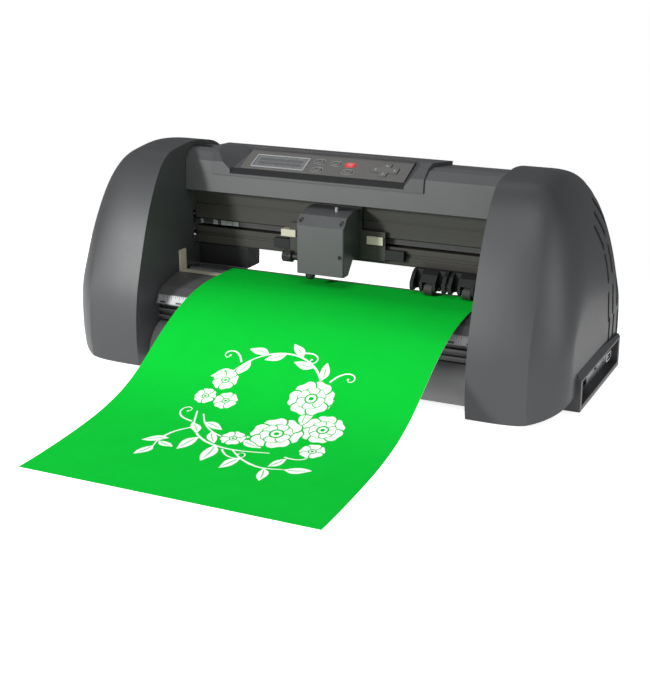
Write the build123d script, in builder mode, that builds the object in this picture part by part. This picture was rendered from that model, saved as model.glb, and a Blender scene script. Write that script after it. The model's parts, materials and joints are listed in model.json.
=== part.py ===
from build123d import *
import math
import os

os.makedirs("parts", exist_ok=True)

# A desktop vinyl cutter.  X runs along the beam, Y from the front to the back and
# Z up from the table.  Everything is drawn about the machine's own datum, which is
# above the table in line with the carriage bay, and is moved back by DATUM_Y when it
# is written, so that the origin ends up at the middle of the footprint, sheet included.

# ------------------------------------------------------------------ driving sizes (mm)
DATUM_Y = 119.5          # how far the machine's datum lies behind the origin
OPEN_HALF = 190.0        # half the free width between the end caps
CAP_OUTER = 285.5        # half the width over the end caps
CAP_BOTTOM = 1.0         # the caps hang this far above the table
WALL = 3.0               # moulded wall of the caps
LOUVRE_DEPTH = 1.8       # grooves in the caps' sides
SKIN = 2.5               # moulded wall of the covers between the caps
SPAN = 2 * (OPEN_HALF - 0.4)   # length of everything that fits between the caps
CREASE_X = 252.0         # a soft crease runs up the front of each cap, this far out

MEDIA_Z = 88.0           # underside of the sheet on the platen
MEDIA_T = 0.5            # film and liner together, drawn a little thick
SHEET_W = 305.0          # 12 inch roll
SHEET_X = 14.0           # the sheet is loaded a little right of the centre
GAP = 0.3                # running gap between moving faces

PLATE_X = 193.2          # inner face of the steel side plates
PLATE_T = 2.0
PAN_Y = (-84.0, 130.0)   # front and rear edges of the base pan
PAN_Z = 6.0              # its underside
PAN_T = 3.0

BEAM_Y = (28.0, 62.0)    # the beam's front and rear faces
BEAM_Z = (111.0, 176.0)
ROLLER_Y = 6.0           # axis of the feed roller and of the pinch rollers
ROLLER_R = 8.0
ROLLER_Z = MEDIA_Z - GAP - ROLLER_R
JOURNAL_R = 5.0
PINCH_R = 7.5
PINCH_Z = MEDIA_Z + MEDIA_T + GAP + PINCH_R
BAR_Y, BAR_Z, BAR_R = 45.0, 119.0, 4.0   # the pinch bar, inside the beam's lower channel
PINCH_X = (107.0, 150.0)
BLADE_Y = -12.0          # the blade's line, over the cutting strip

BELT_Y = 44.0            # pulley axes
BELT_X = 218.0
BELT_R = 10.0            # pitch radius of the belt
BELT_Z = (133.0, 139.0)

GEAR_TEETH, PINION_TEETH, MODULE = 40, 16, 1.0
GEAR_X = -208.0          # outer face of the feed gear and its pinion
GEAR_W = 8.0
PINION_ANGLE = -60.0     # direction from the gear's axis to the pinion's axis

CARRIAGE_X = (-38.0, 18.0)
CARRIAGE_MID = sum(CARRIAGE_X) / 2
TOOL_X = -26.0           # axis of the blade holder
TOOL_R = 5.0

PANEL_TILT = 25.0        # slope of the keypad
PANEL_X = (-121.0, 75.0)
PANEL_D = 35.0
PANEL_FRONT = (6.5, 209.0)

# Side outline of the end caps (Y, Z), from the front foot over the top to the rear foot.
OUTLINE = [
    (-108, CAP_BOTTOM), (-111, 22), (-111, 50), (-107, 80), (-96, 117), (-83, 153), (-61, 196),
    (-46, 215), (-34, 223.5), (-12, 228.5), (18, 231), (47, 228.5), (84, 216.5), (106, 187),
    (122, 146), (135, 100), (146, 54), (145, CAP_BOTTOM),
]
CREST = 10               # index of the highest point of the outline
CAP_MID = (15.0, 85.0)   # the point (Y, Z) that the outline shrinks towards further out


# ------------------------------------------------------------------ drawing helpers
def write(piece, name):
    """Moves a finished piece to its place about the origin, labels it and writes it."""
    solid = piece.part.moved(Location((0, DATUM_Y, 0)))
    solid.label = name
    export_step(solid, f"parts/{name}.step")


def slab(x, y, z, mode=Mode.ADD):
    """A block between two X, two Y and two Z values."""
    with Locations(((x[0] + x[1]) / 2, (y[0] + y[1]) / 2, (z[0] + z[1]) / 2)):
        Box(x[1] - x[0], y[1] - y[0], z[1] - z[0], mode=mode)


def rod(axis, centre, radius, ends, mode=Mode.ADD):
    """A cylinder along X, Y or Z: centre holds the two coordinates across that axis."""
    middle = (ends[0] + ends[1]) / 2
    spot = {"X": (middle, *centre), "Y": (centre[0], middle, centre[1]), "Z": (*centre, middle)}
    turn = {"X": (0, 90, 0), "Y": (90, 0, 0), "Z": (0, 0, 0)}
    with Locations(Location(spot[axis], turn[axis])):
        Cylinder(radius, abs(ends[1] - ends[0]), mode=mode)


def moved_in(points, distances):
    """Moves each point of an open outline to its right-hand side, with mitred corners."""
    result = []
    for i, (y, z) in enumerate(points):
        normals = []
        for a, b in ((i - 1, i), (i, i + 1)):
            if a >= 0 and b < len(points):
                dy, dz = points[b][0] - points[a][0], points[b][1] - points[a][1]
                normals.append((dz / math.hypot(dy, dz), -dy / math.hypot(dy, dz)))
        ny, nz = (sum(n[k] for n in normals) for k in (0, 1))
        size = math.hypot(ny, nz)
        reach = distances[i] / ((ny * normals[0][0] + nz * normals[0][1]) / size)
        result.append((y + ny / size * reach, z + nz / size * reach))
    return result


def skin_face(points, thickness, smooth=False):
    """A strip-shaped face in the YZ plane, to the right of its outline."""
    curve = Spline if smooth else Polyline
    inner = moved_in(points, [thickness] * len(points))
    with BuildSketch(Plane.YZ) as face:
        with BuildLine():
            curve(*points)
            curve(*inner)
            Line(points[0], inner[0])
            Line(points[-1], inner[-1])
        make_face()
    return face.sketch


def skin(points, thickness, smooth=False):
    """A sheet of constant thickness that runs along X between the end caps."""
    with BuildPart() as sheet:
        extrude(skin_face(points, thickness, smooth), amount=SPAN / 2, both=True)
    return sheet


# ------------------------------------------------------------------ end caps
def swell(x, depth, start):
    """How far a quarter ellipse has come in at x, from nothing at start to depth at the side."""
    share = min(1.0, max(0.0, (x - start) / (CAP_OUTER - start)))
    return depth * (1 - math.sqrt(1 - share ** 2))


def front_swell(x):
    """The same for the front: nearly flat up to the crease, then a slope that rounds off."""
    near = max(0.0, (min(x, CREASE_X) - 200) / (CREASE_X - 200))
    beyond = max(0.0, (x - CREASE_X) / (CAP_OUTER - CREASE_X))
    return 2.5 * near ** 2 + 19.5 * beyond + swell(x, 24, CREASE_X)


def cap_section(side, x, wall, foot):
    """The cap's outline at one distance from the centre, inside the outer skin by wall."""
    mid_y, mid_z = CAP_MID
    outer_x = min(CAP_OUTER, x + wall)
    front = 1 - front_swell(outer_x) / (mid_y - min(y for y, z in OUTLINE))
    rear = 1 - swell(outer_x, 30, 240) / (max(y for y, z in OUTLINE) - mid_y)
    top = 1 - swell(outer_x, 128, 226) / (OUTLINE[CREST][1] - mid_z)
    bottom = 1 - swell(outer_x, 23, 226) / (mid_z - CAP_BOTTOM)
    shrunk = []
    for y, z in OUTLINE:
        shrunk_y = mid_y + (y - mid_y) * (front if y < mid_y else rear)
        shrunk.append((shrunk_y, mid_z + (z - mid_z) * (top if z > mid_z else bottom)))
    points = moved_in(shrunk, [wall] * len(shrunk))
    for end in (0, -1):
        points[end] = (points[end][0], shrunk[end][1] if foot is None else foot)
    with BuildSketch(Plane.YZ.offset(side * x)) as section:
        with BuildLine():
            Spline(*points)
            Line(points[0], points[-1])
        make_face()
    return section.sketch


def cap_body(side, start, wall, mode, foot=None):
    """A closed body wall inside the cap's outer skin, in two lofts that meet at the crease."""
    crease = CREASE_X - wall
    near = [start + (crease - start) * share for share in (0, 0.25, 0.5, 0.75, 1)]
    reach = CAP_OUTER - CREASE_X
    beyond = [crease + reach * math.sin(math.radians(90 * step / 8)) for step in range(9)]
    for stations in (near, beyond):
        loft(sections=[cap_section(side, x, wall, foot) for x in stations], mode=mode)


def rear_spot(height, depth):
    """A point inside the rear outline, depth from it, with the outline's direction there."""
    for (y0, z0), (y1, z1) in zip(OUTLINE[CREST:], OUTLINE[CREST + 1:]):
        if z1 <= height <= z0:
            y = y0 + (y1 - y0) * (z0 - height) / (z0 - z1)
            angle = math.degrees(math.atan2(z1 - z0, y1 - y0))
            size = math.hypot(y1 - y0, z1 - z0)
            return (y + (z1 - z0) / size * depth, height - (y1 - y0) / size * depth), angle
    raise ValueError(height)


def end_cap(side):
    """A hollow end cap, open underneath, with grooved louvres beside its rear edge."""
    with BuildPart() as cap:
        cap_body(side, OPEN_HALF, 0.0, Mode.ADD)
        louvre_spots = [rear_spot(z, d) for z in (204, 152, 98, 48) for d in (15, 33, 51, 69)]
        for spot, angle in louvre_spots:
            with BuildSketch(Plane.YZ.offset(side * 232)) as slot:
                with Locations(Location((*spot, 0), (0, 0, angle))):
                    SlotOverall(37, 6.5)
            extrude(slot.sketch, amount=side * 60, mode=Mode.SUBTRACT)
        # The louvres are only as deep as the body put back behind them.
        cap_body(side, OPEN_HALF, LOUVRE_DEPTH, Mode.ADD)
        cap_body(side, OPEN_HALF + WALL, WALL, Mode.SUBTRACT, foot=-1.0)
        inner_wall = (side * (OPEN_HALF - 1), side * (OPEN_HALF + WALL + 1))
        inner_wall = (min(inner_wall), max(inner_wall))
        # The beam passes through a window, with room in front of it for the carriage's wings.
        window_y = (BEAM_Y[0] - 10, BEAM_Y[1] + 0.5)
        slab(inner_wall, window_y, (BEAM_Z[0] - 0.5, BEAM_Z[1] + 0.5), mode=Mode.SUBTRACT)
        slab(inner_wall, (PAN_Y[0] - 2, PAN_Y[1] + 2), (0, PAN_Z + PAN_T + 0.5), mode=Mode.SUBTRACT)
        rod("X", (ROLLER_Y, ROLLER_Z), ROLLER_R + 1, inner_wall, mode=Mode.SUBTRACT)
    return cap


LEVER_X = (-252.0, -244.0)
LEVER_REST = 31.0        # the lever's slope at rest, up and to the rear
LEVER_SWING = 40.0

left_cap = end_cap(-1)
with BuildPart() as left_shell:
    add(left_cap.part)
    # A slot in the rear slope lets the pinch lever through.
    with BuildSketch(Plane.YZ.offset(LEVER_X[0] - 1.5)) as lever_slot:
        with BuildLine():
            corners = [(BAR_Y, BAR_Z)]
            for angle in (LEVER_REST - 6, LEVER_REST + LEVER_SWING / 2, LEVER_REST + LEVER_SWING + 6):
                turn = math.radians(angle)
                corners.append((BAR_Y + 170 * math.cos(turn), BAR_Z + 170 * math.sin(turn)))
            Polyline(*corners, close=True)
        make_face()
    extrude(lever_slot.sketch, amount=LEVER_X[1] - LEVER_X[0] + 3, mode=Mode.SUBTRACT)
write(left_shell, "left_cap")

NICHE_Y = (-44.0, 106.0)  # the socket niche, low on the right cap's side
NICHE_Z = (9.0, 35.0)
NICHE_LIP = 5.0           # how far its rim stands out of the side
NICHE_DROP = (14.0, 5.0)  # how far its roof stands over the opening, in front and at the rear
with BuildPart() as niche_rim:
    outer_y = (NICHE_Y[0] - 6, NICHE_Y[1] + 6)
    with BuildSketch(Plane.XZ.offset(-outer_y[1])) as rim:
        with BuildLine():
            Polyline((262, 4), (CAP_OUTER + NICHE_LIP, 4), (CAP_OUTER + NICHE_LIP, NICHE_Z[1] + 2),
                     (CAP_OUTER - 3, NICHE_Z[1] + 14), (262, NICHE_Z[1] + 14), close=True)
        make_face()
    extrude(rim.sketch, amount=outer_y[1] - outer_y[0])
    # The roof falls towards the rear.
    with BuildSketch(Plane.YZ.offset(262)) as above_roof:
        with BuildLine():
            Polyline((outer_y[0], NICHE_Z[1] + NICHE_DROP[0]), (outer_y[1], NICHE_Z[1] + NICHE_DROP[1]),
                     (outer_y[1], 60), (outer_y[0], 60), close=True)
        make_face()
    extrude(above_roof.sketch, amount=40, mode=Mode.SUBTRACT)
right_cap = end_cap(1)
with BuildPart() as right_shell:
    add(right_cap.part)
    add(niche_rim.part)
    slab((258, 300), NICHE_Y, NICHE_Z, mode=Mode.SUBTRACT)
write(right_shell, "right_cap")

# ------------------------------------------------------------------ base, feet, side plates
FOOT_SPOTS = [(x, y) for x in (-228, 228) for y in (-74, 104)]
with BuildPart() as base_pan:
    slab((-250, 250), PAN_Y, (PAN_Z, PAN_Z + PAN_T))
    with Locations(*[(x, y, PAN_Z) for x, y in FOOT_SPOTS]):
        Cylinder(2.2, 20, mode=Mode.SUBTRACT)
write(base_pan, "base_pan")

with BuildPart() as feet:
    for spot in FOOT_SPOTS:
        rod("Z", spot, 10, (0, PAN_Z))
        rod("Z", spot, 2.2, (PAN_Z, PAN_Z + PAN_T))
    chamfer(feet.edges().group_by(Axis.Z)[0], 1.0)
write(feet, "feet")

PLATE_OUTLINE = [(-62, 9), (-62, 70), (-10, 100), (14, 112), (14, 180), (76, 180), (76, 104),
                 (104, 60), (104, 9)]
BEARING_R = 8.0


def side_plate(side):
    """A steel side plate: it carries the beam, the roller bearings and the pinch bar."""
    x = (side * PLATE_X, side * (PLATE_X + PLATE_T))
    across = (min(x), max(x))
    with BuildPart() as plate:
        with BuildSketch(Plane.YZ.offset(across[0])) as outline:
            with BuildLine():
                Polyline(*PLATE_OUTLINE, close=True)
            make_face()
        extrude(outline.sketch, amount=PLATE_T)
        flange = (min(x[1], x[1] + side * 18), max(x[1], x[1] + side * 18))
        slab(flange, (-60, 102), (9, 11))
        rod("X", (ROLLER_Y, ROLLER_Z), BEARING_R, (across[0] - 1, across[1] + 1), mode=Mode.SUBTRACT)
        rod("X", (BAR_Y, BAR_Z), BAR_R + 0.06, (across[0] - 1, across[1] + 1), mode=Mode.SUBTRACT)
        # Openings for the belt's two runs and for the carriage's wings.
        slab((across[0] - 1, across[1] + 1), (30, 57), (130.5, 142.5), mode=Mode.SUBTRACT)
        slab((across[0] - 1, across[1] + 1), (13, 31), (115, 150), mode=Mode.SUBTRACT)
    return plate


MOTOR_R = 12.0
left_plate = side_plate(-1)
with BuildPart() as left_side_plate:
    add(left_plate.part)
    # The shelf under the carriage motor.
    slab((-240, -PLATE_X - PLATE_T), (23, 65), (143.5, 145.5))
    rod("Z", (-BELT_X, BELT_Y), MOTOR_R, (140, 150), mode=Mode.SUBTRACT)
write(left_side_plate, "left_side_plate")

IDLER_PIN_R = 3.0
right_plate = side_plate(1)
with BuildPart() as right_side_plate:
    add(right_plate.part)
    # The shelf and pin of the idler pulley.
    slab((PLATE_X + PLATE_T, 232), (33, 55), (126, 128))
    rod("Z", (BELT_X, BELT_Y), IDLER_PIN_R, (128, 145))
write(right_side_plate, "right_side_plate")

# ------------------------------------------------------------------ covers between the caps
COVER_OUTLINE = [(2, 179), (4.5, 213), (12, 222), (20, 224.5), (54, 222), (72, 205),
                 (96, 173), (117, 134), (124, 113)]
CONSOLE_FRONT = (-153.0, 96.0)   # the console's width at the fascia
CONSOLE_BACK = (-164.0, 111.0)   # and at its rear edge
CONSOLE_REAR_Y = 58.0
CUT_OUT_X = (CONSOLE_FRONT[0] + 4, CONSOLE_FRONT[1] - 4)
with BuildPart() as top_cover:
    add(skin(COVER_OUTLINE, SKIN).part)
    # The cut-out for the console and a finger pocket at the left end.
    slab(CUT_OUT_X, (-5, 50), (203, 240), mode=Mode.SUBTRACT)
    slab((-SPAN / 2, -168), (26, 48), (213.5, 222))
    slab((-187, -171), (30, 44), (216, 230), mode=Mode.SUBTRACT)
write(top_cover, "top_cover")

REAR_OUTLINE = [(22, 82), (28, 85), (60, 76), (100, 64), (130, 52), (138, 42), (141, 9)]
with BuildPart() as rear_cover:
    add(skin(REAR_OUTLINE, SKIN).part)
    slab((-SPAN / 2, SPAN / 2), (PAN_Y[1] - 4, 139.5), (PAN_Z + PAN_T, PAN_Z + PAN_T + 2))
write(rear_cover, "rear_cover")

APRON_OUTLINE = [(-87, 6), (-88, 12), (-84, 24), (-76, 34), (-66, 40), (-60, 41)]
with BuildPart() as front_apron:
    add(skin(APRON_OUTLINE, SKIN, smooth=True).part)
    slab((-SPAN / 2, SPAN / 2), (-86, -70), (PAN_Z + PAN_T, PAN_Z + PAN_T + 2))
write(front_apron, "front_apron")

STRIP_Y = (BLADE_Y - 7, BLADE_Y + 6)
DECK_Z = MEDIA_Z - 0.4
with BuildPart() as platen:
    add(skin([(-60, 42), (-58, 60), (-71.5, 63.4), (-66, 73.6), (-55, 80), (-38, 85),
              (STRIP_Y[0] - 3, DECK_Z), (-4.5, DECK_Z)], SKIN).part)
    # A seat for the cutting strip, and two ribs along the skirt.
    slab((-SPAN / 2, SPAN / 2), (STRIP_Y[0] - SKIN, STRIP_Y[1] + 1.5), (DECK_Z - 6, DECK_Z))
    slab((-SPAN / 2, SPAN / 2), STRIP_Y, (DECK_Z - 3, DECK_Z + 1), mode=Mode.SUBTRACT)
    for height in (46, 54):
        slab((-SPAN / 2, SPAN / 2), (-64, -57), (height, height + 2.5))
write(platen, "platen")

with BuildPart() as ruler_strip:
    facet = moved_in([(-71.3, 64.2), (-66.6, 73.0)], [-0.8, -0.8])
    with BuildSketch(Plane.YZ) as ruler_face:
        with BuildLine():
            Polyline((-71.3, 64.2), (-66.6, 73.0), facet[1], facet[0], close=True)
        make_face()
    extrude(ruler_face.sketch, amount=SPAN / 2 - 3, both=True)
write(ruler_strip, "ruler_strip")

with BuildPart() as cutting_strip:
    slab((-SPAN / 2 + 0.5, SPAN / 2 - 0.5), (STRIP_Y[0] + 0.2, STRIP_Y[1] - 0.2), (DECK_Z - 3, DECK_Z))
    # The strip's left end is turned up against the cap.
    slab((-SPAN / 2 + 0.5, -SPAN / 2 + 3), (STRIP_Y[0] + 0.2, STRIP_Y[1] - 0.2), (DECK_Z, 112))
write(cutting_strip, "cutting_strip")

with BuildPart() as left_guard:
    slab((-SPAN / 2, -126), (30, 58), (MEDIA_Z - 2, BEAM_Z[0]))
    fillet(left_guard.edges().filter_by(Axis.X), 1.5)
write(left_guard, "left_guard")

# ------------------------------------------------------------------ console
SLOPE = math.radians(PANEL_TILT)
MIDDLE_X = (PANEL_X[0] + PANEL_X[1]) / 2
PANEL_W = PANEL_X[1] - PANEL_X[0]
PANEL_T = 1.6
panel_plane = Plane(
    origin=(MIDDLE_X, *PANEL_FRONT),
    x_dir=(1, 0, 0),
    z_dir=(0, -math.sin(SLOPE), math.cos(SLOPE)),
)
panel_axis = Axis(panel_plane.origin, panel_plane.z_dir)
FLOOR_T = 2.4             # floor of the console's tray, under the panel


def on_slope(along, above):
    """The (Y, Z) of a point given by its distance up the panel and above its face."""
    return (PANEL_FRONT[0] + along * math.cos(SLOPE) - above * math.sin(SLOPE),
            PANEL_FRONT[1] + along * math.sin(SLOPE) + above * math.cos(SLOPE))


def tray_opening(front, rear, depth, height):
    """A four-sided face parallel to the panel: its X limits in front and at the rear."""
    with BuildSketch(panel_plane.offset(height)) as face:
        with BuildLine():
            Polyline((front[0] - MIDDLE_X, depth[0]), (front[1] - MIDDLE_X, depth[0]),
                     (rear[1] - MIDDLE_X, depth[1]), (rear[0] - MIDDLE_X, depth[1]), close=True)
        make_face()
    return face.sketch


with BuildPart() as console_bezel:
    # The body follows the cover's front and top, standing a little proud of them.
    followed = [(3.4, 199), *COVER_OUTLINE[1:4], (CONSOLE_REAR_Y, 221)]
    proud = moved_in(followed, [-1.8, -1.8, -2.6, -4.2, -4.2])
    floor_line = [on_slope(PANEL_D + 4, -PANEL_T - FLOOR_T), on_slope(-1.5, -PANEL_T - FLOOR_T)]
    with BuildSketch(Plane.YZ.offset(-170)) as body_face:
        with BuildLine():
            Polyline(*proud, (CONSOLE_REAR_Y, 218.6), *floor_line, (4.6, 199), close=True)
        make_face()
    extrude(body_face.sketch, amount=290)
    with BuildSketch(Plane.XY.offset(180)) as plan:
        with BuildLine():
            Polyline((CONSOLE_FRONT[0], -10), (CONSOLE_FRONT[1], -10), (CONSOLE_BACK[1], CONSOLE_REAR_Y + 5),
                     (CONSOLE_BACK[0], CONSOLE_REAR_Y + 5), close=True)
        make_face()
    extrude(plan.sketch, amount=60, mode=Mode.INTERSECT)
    # The tray: its side walls lean outwards.
    loft(sections=[
        tray_opening((PANEL_X[0] - 12, PANEL_X[1] + 2), (PANEL_X[0] - 0.7, PANEL_X[1] + 0.7),
                     (-12, PANEL_D + 0.3), -PANEL_T),
        tray_opening((PANEL_X[0] - 44, PANEL_X[1] + 25), (PANEL_X[0] - 55, PANEL_X[1] + 27),
                     (-25, PANEL_D + 4), 24),
    ], ruled=True, mode=Mode.SUBTRACT)
    # A gutter falls from the panel's front edge to the low front rim.
    with BuildSketch(Plane.YZ.offset(PANEL_X[0] - 11)) as gutter:
        with BuildLine():
            Polyline(on_slope(-0.2, -PANEL_T), on_slope(-7, -5), on_slope(-14, 0), on_slope(-0.2, 3),
                     close=True)
        make_face()
    extrude(gutter.sketch, amount=PANEL_W + 12.5, mode=Mode.SUBTRACT)
    with Locations(panel_plane * Location((0, PANEL_D / 2, -8))):
        Box(PANEL_W - 10, PANEL_D - 8, 20, mode=Mode.SUBTRACT)
    # Beyond the cut-out in the cover the bezel only lies on it.
    add(top_cover.part, mode=Mode.SUBTRACT)
    for low, high in ((-SPAN / 2, CUT_OUT_X[0]), (CUT_OUT_X[1], SPAN / 2)):
        with BuildSketch(Plane.YZ.offset(low)) as beneath:
            with BuildLine():
                Polyline(*COVER_OUTLINE, close=True)
            make_face()
        extrude(beneath.sketch, amount=high - low, mode=Mode.SUBTRACT)
write(console_bezel, "console_bezel")

LCD_X, LCD_V, LCD_SIZE = -77.8, 15.0, (61.5, 19.5)   # window centre and size on the panel
KEYS = {                  # X and distance up the slope of each key
    "menu_key": (-32.5, 22.0), "enter_key": (-12.0, 21.0), "stop_key": (5.0, 20.5),
    "test_key": (-30.0, 7.5), "pause_key": (6.4, 8.0),
}
KEY_SIZE = (11.0, 6.0)
PAD_SPOT, PAD_SPAN, PAD_ARM = (47.0, 16.5), (30.0, 22.0), 9.0


def panel_box(x, v, size, low, high, mode=Mode.ADD):
    """A block on the sloping panel, between two heights above the panel's underside."""
    with Locations(panel_plane * Location((x - MIDDLE_X, v, (low + high) / 2))):
        Box(*size, high - low, mode=mode)


def panel_sketch(height):
    """The panel's own plane, raised by height."""
    return panel_plane.offset(height)


PANEL_LOW = -PANEL_T       # underside of the keypad panel in the panel's plane
with BuildPart() as keypad_panel:
    panel_box(MIDDLE_X, PANEL_D / 2, (PANEL_W - 0.4, PANEL_D - 0.4), PANEL_LOW, 0)
    panel_box(LCD_X, LCD_V, LCD_SIZE, -5, 5, mode=Mode.SUBTRACT)
    with BuildSketch(panel_sketch(-5)) as key_holes:
        for x, v in KEYS.values():
            with Locations((x - MIDDLE_X, v)):
                SlotOverall(KEY_SIZE[0] + 2 * GAP, KEY_SIZE[1] + 2 * GAP)
        with Locations((PAD_SPOT[0] - MIDDLE_X, PAD_SPOT[1])):
            Rectangle(PAD_SPAN[0] + 2 * GAP, PAD_ARM + 2 * GAP)
            Rectangle(PAD_ARM + 2 * GAP, PAD_SPAN[1] + 2 * GAP)
    extrude(key_holes.sketch, amount=10, mode=Mode.SUBTRACT)
write(keypad_panel, "keypad_panel")

with BuildPart() as lcd_window:
    panel_box(LCD_X, LCD_V, LCD_SIZE, PANEL_LOW, -0.2)
write(lcd_window, "lcd_window")

KEY_TRAVEL = 0.6
KEY_LOW = PANEL_LOW - 0.8
for key_name, (key_x, key_v) in KEYS.items():
    with BuildPart() as key:
        with BuildSketch(panel_sketch(KEY_LOW)) as key_face:
            with Locations((key_x - MIDDLE_X, key_v)):
                SlotOverall(*KEY_SIZE)
        extrude(key_face.sketch, amount=-KEY_LOW + 1.1)
        fillet(key.faces().sort_by(panel_axis)[-1].edges(), 0.5)
    write(key, key_name)

with BuildPart() as arrow_pad:
    with BuildSketch(panel_sketch(KEY_LOW)) as pad_face:
        with Locations((PAD_SPOT[0] - MIDDLE_X, PAD_SPOT[1])):
            Rectangle(PAD_SPAN[0], PAD_ARM)
            Rectangle(PAD_ARM, PAD_SPAN[1])
        fillet(pad_face.vertices(), 1.0)
    extrude(pad_face.sketch, amount=-KEY_LOW + 0.9)
write(arrow_pad, "arrow_pad")

BOARD_TOP = KEY_LOW - KEY_TRAVEL - 0.5
with BuildPart() as display_board:
    panel_box(MIDDLE_X, PANEL_D / 2, (PANEL_W - 12, PANEL_D - 11), BOARD_TOP - 1.6, BOARD_TOP)
    panel_box(LCD_X, LCD_V + 0.5, (LCD_SIZE[0] + 4, LCD_SIZE[1] + 2), BOARD_TOP, PANEL_LOW)
write(display_board, "display_board")

# ------------------------------------------------------------------ beam, belt, carriage drive
GROOVE_Z = (121.0, 125.0)
with BuildPart() as beam:
    slab((-PLATE_X, PLATE_X), BEAM_Y, BEAM_Z)
    fillet(beam.edges().filter_by(Axis.X), 1.5)
    along = (-PLATE_X, PLATE_X)
    slab(along, (33, 58), (BEAM_Z[0] - 1, 127), mode=Mode.SUBTRACT)
    slab(along, (BEAM_Y[0] - 1, 32), (131, 141), mode=Mode.SUBTRACT)
    slab(along, (31, 58), (130, 143), mode=Mode.SUBTRACT)
    slab(along, (32, 58), (149, 172), mode=Mode.SUBTRACT)
    slab(along, (BEAM_Y[0] - 1, BEAM_Y[0] + 2), GROOVE_Z, mode=Mode.SUBTRACT)
    slab(along, (BEAM_Y[0] - 1, BEAM_Y[0] + 0.8), (158, 160), mode=Mode.SUBTRACT)
write(beam, "beam")

BELT_T = 1.5
with BuildPart() as drive_belt:
    with BuildSketch(Plane.XY.offset(BELT_Z[0])) as belt_loop:
        with Locations((0, BELT_Y)):
            SlotCenterToCenter(2 * BELT_X, 2 * BELT_R + BELT_T)
            SlotCenterToCenter(2 * BELT_X, 2 * BELT_R - BELT_T, mode=Mode.SUBTRACT)
    extrude(belt_loop.sketch, amount=BELT_Z[1] - BELT_Z[0])
write(drive_belt, "drive_belt")

PULLEY_R = BELT_R - BELT_T / 2 - 0.35
PULLEY_Z = (BELT_Z[0] - 2, BELT_Z[1] + 2)
SHAFT_R = 2.5


def pulley_body(x):
    """Two flanges and a toothed drum, on the axis at the given X."""
    rod("Z", (x, BELT_Y), PULLEY_R, PULLEY_Z)
    for low in (PULLEY_Z[0], PULLEY_Z[1] - 1):
        rod("Z", (x, BELT_Y), BELT_R + 1.8, (low, low + 1))
    with Locations((x, BELT_Y, sum(PULLEY_Z) / 2)):
        with PolarLocations(PULLEY_R, 20):
            Cylinder(0.6, BELT_Z[1] - BELT_Z[0], mode=Mode.SUBTRACT)


with BuildPart() as drive_pulley:
    pulley_body(-BELT_X)
    rod("Z", (-BELT_X, BELT_Y), SHAFT_R, (PULLEY_Z[1], 165))
write(drive_pulley, "drive_pulley")

with BuildPart() as idler_pulley:
    pulley_body(BELT_X)
    rod("Z", (BELT_X, BELT_Y), IDLER_PIN_R + 0.05, (120, 150), mode=Mode.SUBTRACT)
write(idler_pulley, "idler_pulley")

MOTOR_SIDE, MOTOR_LONG = 42.0, 40.0
with BuildPart() as carriage_motor:
    half = MOTOR_SIDE / 2
    slab((-BELT_X - half, -BELT_X + half), (BELT_Y - half, BELT_Y + half), (145.5, 145.5 + MOTOR_LONG))
    chamfer(carriage_motor.edges().filter_by(Axis.Z), 4)
    rod("Z", (-BELT_X, BELT_Y), MOTOR_R - 1, (143.7, 145.5))
    rod("Z", (-BELT_X, BELT_Y), SHAFT_R + 0.05, (140, 166), mode=Mode.SUBTRACT)
write(carriage_motor, "carriage_motor")

# ------------------------------------------------------------------ sheet feed
with BuildPart() as grit_roller:
    rod("X", (ROLLER_Y, ROLLER_Z), ROLLER_R, (-OPEN_HALF + 1.5, OPEN_HALF - 1.5))
    rod("X", (ROLLER_Y, ROLLER_Z), JOURNAL_R, (-210, 203))
    # Shallow grooves part the gritted bands.
    for x in range(-160, 161, 40):
        with Locations(Location((x, ROLLER_Y, ROLLER_Z), (0, 90, 0))):
            Torus(ROLLER_R, 0.6, mode=Mode.SUBTRACT)
write(grit_roller, "grit_roller")

with BuildPart() as roller_bearings:
    for side in (-1, 1):
        ends = (side * PLATE_X, side * (PLATE_X + PLATE_T + 1.2))
        rod("X", (ROLLER_Y, ROLLER_Z), BEARING_R, (min(ends), max(ends)))
        rim_ends = (side * (PLATE_X + PLATE_T), side * (PLATE_X + PLATE_T + 1.2))
        rod("X", (ROLLER_Y, ROLLER_Z), BEARING_R + 1.5, (min(rim_ends), max(rim_ends)))
    rod("X", (ROLLER_Y, ROLLER_Z), JOURNAL_R + 0.05, (-220, 220), mode=Mode.SUBTRACT)
write(roller_bearings, "roller_bearings")

PITCH_GEAR = GEAR_TEETH * MODULE / 2
PITCH_PINION = PINION_TEETH * MODULE / 2
MESH = PITCH_GEAR + PITCH_PINION + 0.15
PINION_Y = ROLLER_Y + MESH * math.cos(math.radians(PINION_ANGLE))
PINION_Z = ROLLER_Z + MESH * math.sin(math.radians(PINION_ANGLE))


def gear_face(teeth, start):
    """A gear's outline about the origin, with one tooth at the angle start."""
    root = teeth * MODULE / 2 - 1.2 * MODULE
    tip = teeth * MODULE / 2 + 0.9 * MODULE
    pitch = 360 / teeth
    corners = []
    for i in range(teeth):
        for radius, share in ((root, -0.30), (tip, -0.11), (tip, 0.11), (root, 0.30)):
            turn = math.radians(start + (i + share) * pitch)
            corners.append((radius * math.cos(turn), radius * math.sin(turn)))
    with BuildSketch() as face:
        with BuildLine():
            Polyline(*corners, close=True)
        make_face()
    return face.sketch


with BuildPart() as feed_gear:
    with BuildSketch(Plane.YZ.offset(GEAR_X)) as gear_outline:
        with Locations((ROLLER_Y, ROLLER_Z)):
            add(gear_face(GEAR_TEETH, PINION_ANGLE))
            Circle(JOURNAL_R, mode=Mode.SUBTRACT)
            with PolarLocations(12.5, 5):
                Circle(3, mode=Mode.SUBTRACT)
    extrude(gear_outline.sketch, amount=GEAR_W)
write(feed_gear, "feed_gear")

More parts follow.
